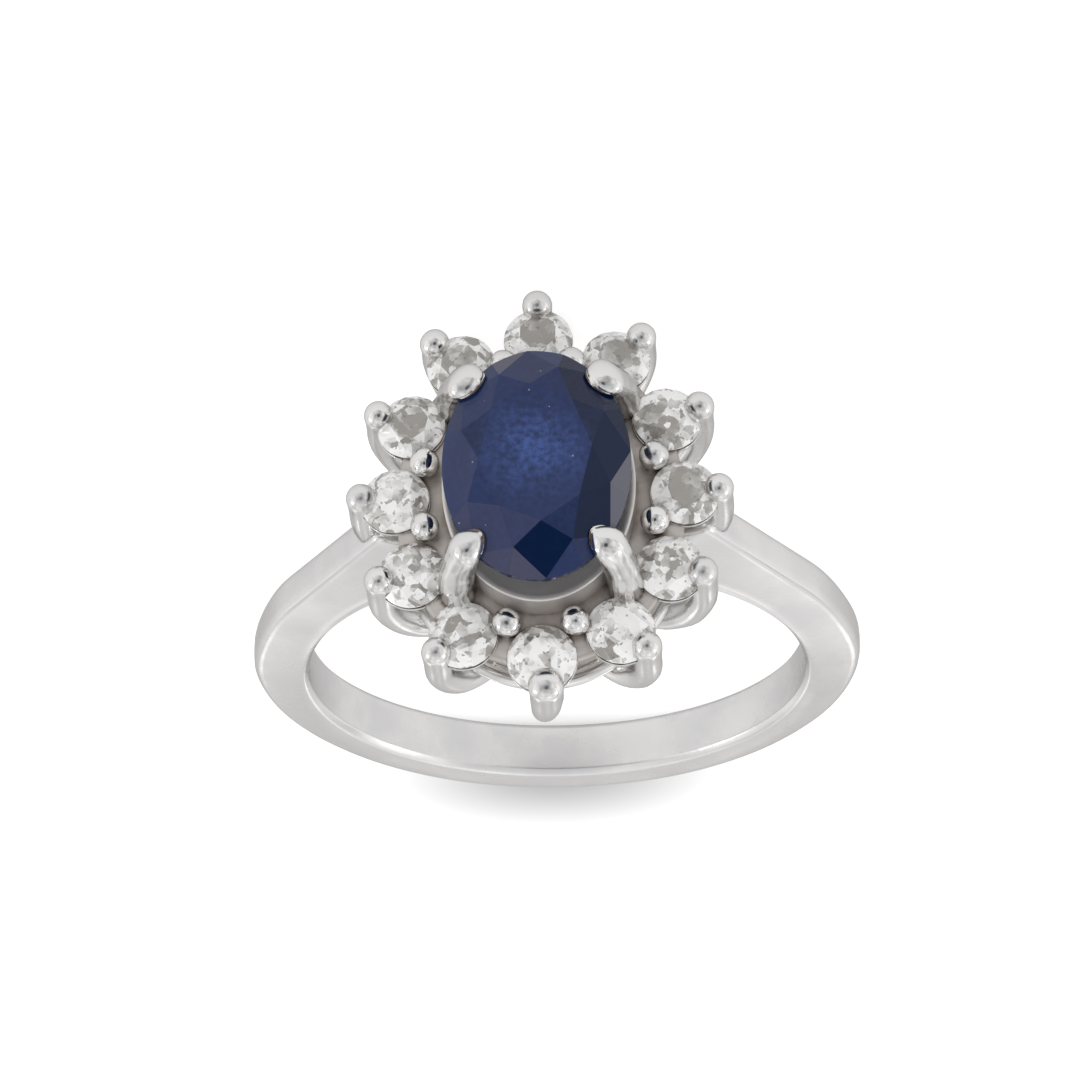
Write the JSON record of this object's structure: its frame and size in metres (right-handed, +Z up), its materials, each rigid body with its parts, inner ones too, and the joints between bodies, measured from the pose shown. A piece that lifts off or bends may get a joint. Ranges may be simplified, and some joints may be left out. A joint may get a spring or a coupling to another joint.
{
  "type": "cluster ring",
  "caption": "Cluster ring with a large oval blue stone in a raised collet, small round white stones in claws around it and a slim white metal band, lying on its side.",
  "frame": {"origin": "on the ground, at the middle of the base of the box round the ring as it lies on its side", "axes": "+Y from the head towards the bottom of the band, +Z up from the ground, +X across the band"},
  "size_m": [0.0202, 0.0249, 0.0144],
  "materials": {
    "white_gold": "polished white gold",
    "sapphire": "polished facets",
    "diamond": "polished facets"
  },
  "bodies": {
    "root": {"ring_mount": "white_gold", "sapphire": "sapphire", "diamond_01": "diamond", "diamond_02": "diamond", "diamond_03": "diamond", "diamond_04": "diamond", "diamond_05": "diamond", "diamond_06": "diamond", "diamond_07": "diamond", "diamond_08": "diamond", "diamond_09": "diamond", "diamond_10": "diamond", "diamond_11": "diamond", "diamond_12": "diamond"}
  },
  "joints": []
}
